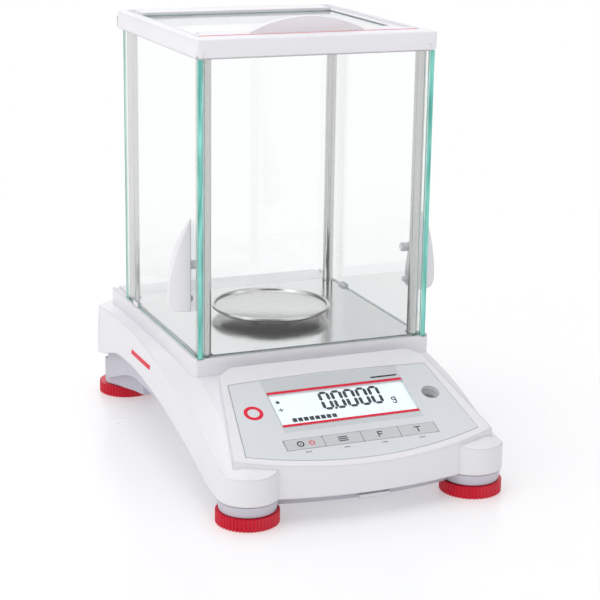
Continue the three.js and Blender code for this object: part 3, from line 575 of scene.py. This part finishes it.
# The bubble of the level and the ring that it is centred in. The vial lies level in the tilted panel.
VIAL_DEPTH, VIAL_HALF_TALL = 0.0088, 0.002
VIAL_TOP = (PANEL @ Matrix.Translation((*LEVEL, -VIAL_DEPTH)) @ Matrix.Rotation(-PANEL_TILT, 4, "X")
            @ Matrix.Translation((0, 0, VIAL_HALF_TALL)))
BUBBLE_PROFILE = [(0.0, 0.0005), (0.0009, 0.00046), (0.0015, 0.0003), (0.00185, 0.0001), (0.0019, 0.0)]
BUBBLE_DRIFT = (0.0006, -0.0003, 0.00003)


def bubble_mesh():
    """A flattened dome with a rounded rim, level with the ground and a little off centre."""
    shape = bmesh.new()
    corners = [shape.verts.new((r, 0, z)) for r, z in BUBBLE_PROFILE]
    edges = [shape.edges.new(pair) for pair in zip(corners, corners[1:])]
    bmesh.ops.spin(shape, geom=corners + edges, cent=(0, 0, 0), axis=(0, 0, 1), angle=2 * math.pi, steps=32,
                   use_merge=True)
    bmesh.ops.remove_doubles(shape, verts=shape.verts, dist=WELD)
    rim = [edge for edge in shape.edges if edge.is_boundary]
    bmesh.ops.contextual_create(shape, geom=rim)
    bmesh.ops.recalc_face_normals(shape, faces=shape.faces)
    shape.transform(VIAL_TOP @ Matrix.Translation(BUBBLE_DRIFT))
    mesh = bpy.data.meshes.new("level_bubble")
    shape.to_mesh(mesh)
    shape.free()
    return mesh


level_ring = ring_parts(0, 0, outer=0.0029, inner=0.0026)
made_piece("level_ring", outline_mesh("level_ring", level_ring, ZONE_HEIGHT, VIAL_TOP), ink_dark)
smoothed(made_piece("level_bubble", bubble_mesh(), plastic("bubble", (0.75, 0.78, 0.70), 0.1, edge=0)))

# Plain marks on the panel: a ring and a bar.
panel_ring = ring_parts(-0.0668, -0.0125, outer=0.0068, inner=0.0042, steps=40)
made_piece("panel_mark", outline_mesh("panel_mark", panel_ring, FILM_HEIGHT, PANEL), ink_red)
panel_bar = [rounded(0.0290, 0.0490, 0.0084, 0.0098, 0.0003)]
made_piece("panel_bar", outline_mesh("panel_bar", panel_bar, RAISED_HEIGHT, PANEL), ink_dark)

# A plain stripe on the left of the skirt, laid onto its curve from just outside.
STRIPE_START, STRIPE_LENGTH, STRIPE_STEPS = 0.006, 0.044, 24
STRIPE_LOW, STRIPE_HIGH = 0.0612, 0.0645
STRIPE_OUTSIDE = -0.12            # x from which it is pressed onto the skirt


def left_stripe():
    shape = bmesh.new()
    rows = []
    for i in range(STRIPE_STEPS + 1):
        y = STRIPE_START + STRIPE_LENGTH * i / STRIPE_STEPS
        rows.append([shape.verts.new((STRIPE_OUTSIDE, y, z)) for z in (STRIPE_LOW, STRIPE_HIGH)])
    for (a, b), (c, d) in zip(rows, rows[1:]):
        shape.faces.new((a, b, d, c))
    mesh = bpy.data.meshes.new("left_stripe")
    shape.to_mesh(mesh)
    shape.free()
    piece = made_piece("left_stripe", mesh, ink_red)
    wrap = piece.modifiers.new("onto_skirt", "SHRINKWRAP")
    wrap.target = NODES["upper_housing"]
    wrap.wrap_method = "PROJECT"
    wrap.use_project_x = True
    wrap.use_positive_direction, wrap.use_negative_direction = True, False
    wrap.offset = INK
    thickness = piece.modifiers.new("ink", "SOLIDIFY")
    thickness.thickness = INK
    thickness.offset = 0


left_stripe()

# Each key's strokes about the middle of its mark: (left, right, low, high, corner radius).
KEY_STROKES = {
    "zero": [(-0.0033, -0.0027, -0.0005, 0.0005, 0.0001)],
    "print": [(-0.0035, 0.0035, rise - 0.0004, rise + 0.0004, 0.0002) for rise in (-0.0018, 0.0, 0.0018)],
    "function": [(-0.0022, -0.0014, -0.0026, 0.0026, 0.0001), (-0.0013, 0.0018, 0.0018, 0.0026, 0.0001),
                 (-0.0013, 0.0010, -0.0004, 0.0004, 0.0001)],
    "tare": [(-0.0004, 0.0004, -0.0026, 0.0017, 0.0001), (-0.0024, 0.0024, 0.0018, 0.0026, 0.0001)],
}
POWER_STROKE = (0.0049, 0.0055, 0.0006, 0.0027, 0.0001)
LOWER_HALF, LOWER_TOP, LOWER_BOTTOM = 0.0022, 0.0027, 0.0036   # the short line under each key
KEY_WIDTH = 2 * KEY_HALF / len(KEY_NAMES)
KEY_MIDDLE_V = (KEY_TOP + KEY_BOTTOM) / 2


def stroke(middle, left, right, low, high, radius):
    return rounded(middle + left, middle + right, KEY_MIDDLE_V + low, KEY_MIDDLE_V + high, radius)


for index, key in enumerate(KEY_NAMES):
    middle = -KEY_HALF + KEY_WIDTH * (index + 0.5)
    marks = [stroke(middle, *corners) for corners in KEY_STROKES[key]]
    if key == "zero":
        marks = ring_parts(middle - 0.003, KEY_MIDDLE_V, outer=0.0026, inner=0.0017, steps=28) + marks
    made_piece(f"{key}_key_mark", outline_mesh(f"{key}_key_mark", marks, RAISED_HEIGHT, PANEL), ink_dark,
               f"{key}_button")
    if key == "zero":
        power = ring_parts(middle + 0.0052, KEY_MIDDLE_V, outer=0.0021, inner=0.0014, start=120, end=420,
                           steps=22)
        power.append(stroke(middle, *POWER_STROKE))
        made_piece("power_mark", outline_mesh("power_mark", power, RAISED_HEIGHT, PANEL), ink_red,
                   "zero_button")
    under = [rounded(middle - LOWER_HALF, middle + LOWER_HALF, KEY_BOTTOM - LOWER_BOTTOM,
                     KEY_BOTTOM - LOWER_TOP, 0.0002)]
    made_piece(f"{key}_lower_mark", outline_mesh(f"{key}_lower_mark", under, FILM_HEIGHT, PANEL), ink_grey)


# ---- floor, light and camera -------------------------------------------------------------------------
FLOOR_HALF = 8.0
FLOOR_FADE_START, FLOOR_FADE_END = 0.2, 0.9   # distances from the object's middle
FLOOR_GLOW_NEAR, FLOOR_GLOW_FAR = 0.25, 1.0   # share of plain white at those distances


def stage_floor():
    """A pale floor that fades to plain white away from the object."""
    mesh = bpy.data.meshes.new("floor")
    half = FLOOR_HALF
    corners = [(-half, -half, 0), (half, -half, 0), (half, half, 0), (-half, half, 0)]
    mesh.from_pydata(corners, [], [(0, 1, 2, 3)])
    floor = bpy.data.objects.new("floor", mesh)
    bpy.context.scene.collection.objects.link(floor)
    made = Material("floor_paper", (0.90, 0.90, 0.91), 0.25)
    made.vary(scale=3, share=0.01)
    made.uneven_gloss(scale=6, spread=0.04)
    made.bump(made.noise(400, detail=2), distance=0.00005, strength=0.1, edge=0)
    made.shader.inputs["Emission Color"].default_value = (1, 1, 1, 1)
    made.shader.inputs["Emission Strength"].default_value = 0.12
    distance = made.node("ShaderNodeVectorMath", operation="LENGTH")
    made.link(made.place, distance.inputs[0])
    far = made.range(distance.outputs["Value"], FLOOR_GLOW_NEAR, FLOOR_GLOW_FAR, FLOOR_FADE_START,
                     FLOOR_FADE_END)
    glow = made.node("ShaderNodeEmission")
    glow.inputs["Strength"].default_value = 1.0
    made.surface(made.mixed(far, made.shader.outputs[0], glow.outputs[0]))
    mesh.materials.append(made.data)


def area_light(name, place, aim, size, power, color=(1, 1, 1)):
    data = bpy.data.lights.new(name, "AREA")
    data.shape = "RECTANGLE"
    data.size, data.size_y = size
    data.energy = power
    data.color = color
    lamp = bpy.data.objects.new(name, data)
    lamp.location = place
    lamp.rotation_euler = (Vector(aim) - Vector(place)).to_track_quat("-Z", "Y").to_euler()
    bpy.context.scene.collection.objects.link(lamp)


stage_floor()
BODY = (0, 0, 0.12)               # what the side lights aim at
area_light("overhead", (-0.2, 0.2, 1.9), aim=(0, 0, 0), size=(1.8, 1.8), power=10.5)
area_light("left_front", (-1.6, -0.7, 1.0), BODY, size=(0.9, 1.2), power=4.2, color=(1.0, 0.99, 0.985))
area_light("right_front", (1.4, -1.2, 0.8), BODY, size=(0.7, 1.0), power=1.6, color=(0.97, 0.98, 1.0))


def ramp(tree, source, source_low, source_high, low, high):
    made = tree.nodes.new("ShaderNodeMapRange")
    made.interpolation_type = "SMOOTHSTEP"
    limits = {"From Min": source_low, "From Max": source_high, "To Min": low, "To Max": high}
    for socket, value in limits.items():
        made.inputs[socket].default_value = value
    tree.links.new(source, made.inputs["Value"])
    return made.outputs[0]


def choose(tree, factor, first, second):
    """A number that goes from the first to the second with the factor."""
    made = tree.nodes.new("ShaderNodeMix")
    for source, socket in zip((factor, first, second), (made.inputs[0], made.inputs[2], made.inputs[3])):
        if isinstance(source, bpy.types.NodeSocket):
            tree.links.new(source, socket)
        else:
            socket.default_value = source
    return made.outputs[0]


SOFTBOXES, SOFTBOX_TURN = 3.0, math.radians(-112)


def studio_world():
    """White to the eye, and for the object a bright ceiling over greyer walls, darkest to the right."""
    world = bpy.data.worlds.new("studio")
    world.use_nodes = True
    tree = world.node_tree
    back = tree.nodes["Background"]
    parts = tree.nodes.new("ShaderNodeSeparateXYZ")
    tree.links.new(tree.nodes.new("ShaderNodeTexCoord").outputs["Generated"], parts.inputs[0])
    height = ramp(tree, parts.outputs["Z"], -0.05, 0.6, 0.42, 0.80)
    across = ramp(tree, parts.outputs["X"], -0.3, 0.8, 1.12, 0.60)
    walls = add_field(tree, "ShaderNodeMath", height, across, operation="MULTIPLY")

    # Softboxes stand round the object with dark gaps between them, which only polished things show.
    azimuth = add_field(tree, "ShaderNodeMath", parts.outputs["Y"], parts.outputs["X"], operation="ARCTAN2")
    wave = add_field(tree, "ShaderNodeMath", azimuth, SOFTBOXES, operation="MULTIPLY")
    wave = add_field(tree, "ShaderNodeMath", wave, SOFTBOX_TURN, operation="ADD")
    boxes = ramp(tree, add_field(tree, "ShaderNodeMath", wave, operation="SINE"), -0.6, 0.5, 0.10, 1.05)
    rays = tree.nodes.new("ShaderNodeLightPath")
    around = choose(tree, rays.outputs["Glossy Depth"], walls, boxes)
    tree.links.new(choose(tree, rays.outputs["Is Camera Ray"], around, 1.0), back.inputs["Strength"])
    back.inputs["Color"].default_value = (0.985, 0.985, 1.0, 1)
    return world


bpy.context.scene.world = studio_world()
bpy.context.scene.view_settings.view_transform = "Standard"

CAMERA_PLACE = Vector((-0.4649, -1.1492, 0.4537))
CAMERA_YAW, CAMERA_PITCH, CAMERA_ROLL = (math.radians(a) for a in (-22.55, 15.64, 0.88))
CAMERA_LENS, CAMERA_SENSOR = 104.16, 36
level_right = Vector((math.cos(CAMERA_YAW), math.sin(CAMERA_YAW), 0))
forward = Vector((-math.sin(CAMERA_YAW) * math.cos(CAMERA_PITCH),
                  math.cos(CAMERA_YAW) * math.cos(CAMERA_PITCH), -math.sin(CAMERA_PITCH)))
level_up = level_right.cross(forward)
right = math.cos(CAMERA_ROLL) * level_right + math.sin(CAMERA_ROLL) * level_up
up = math.cos(CAMERA_ROLL) * level_up - math.sin(CAMERA_ROLL) * level_right
camera_data = bpy.data.cameras.new("camera")
camera_data.lens = CAMERA_LENS
camera_data.sensor_width = CAMERA_SENSOR
camera_data.clip_start, camera_data.clip_end = 0.05, 50
camera = bpy.data.objects.new("camera", camera_data)
camera.matrix_world = Matrix.Translation(CAMERA_PLACE) @ Matrix((right, up, -forward)).transposed().to_4x4()
bpy.context.scene.collection.objects.link(camera)
bpy.context.scene.camera = camera
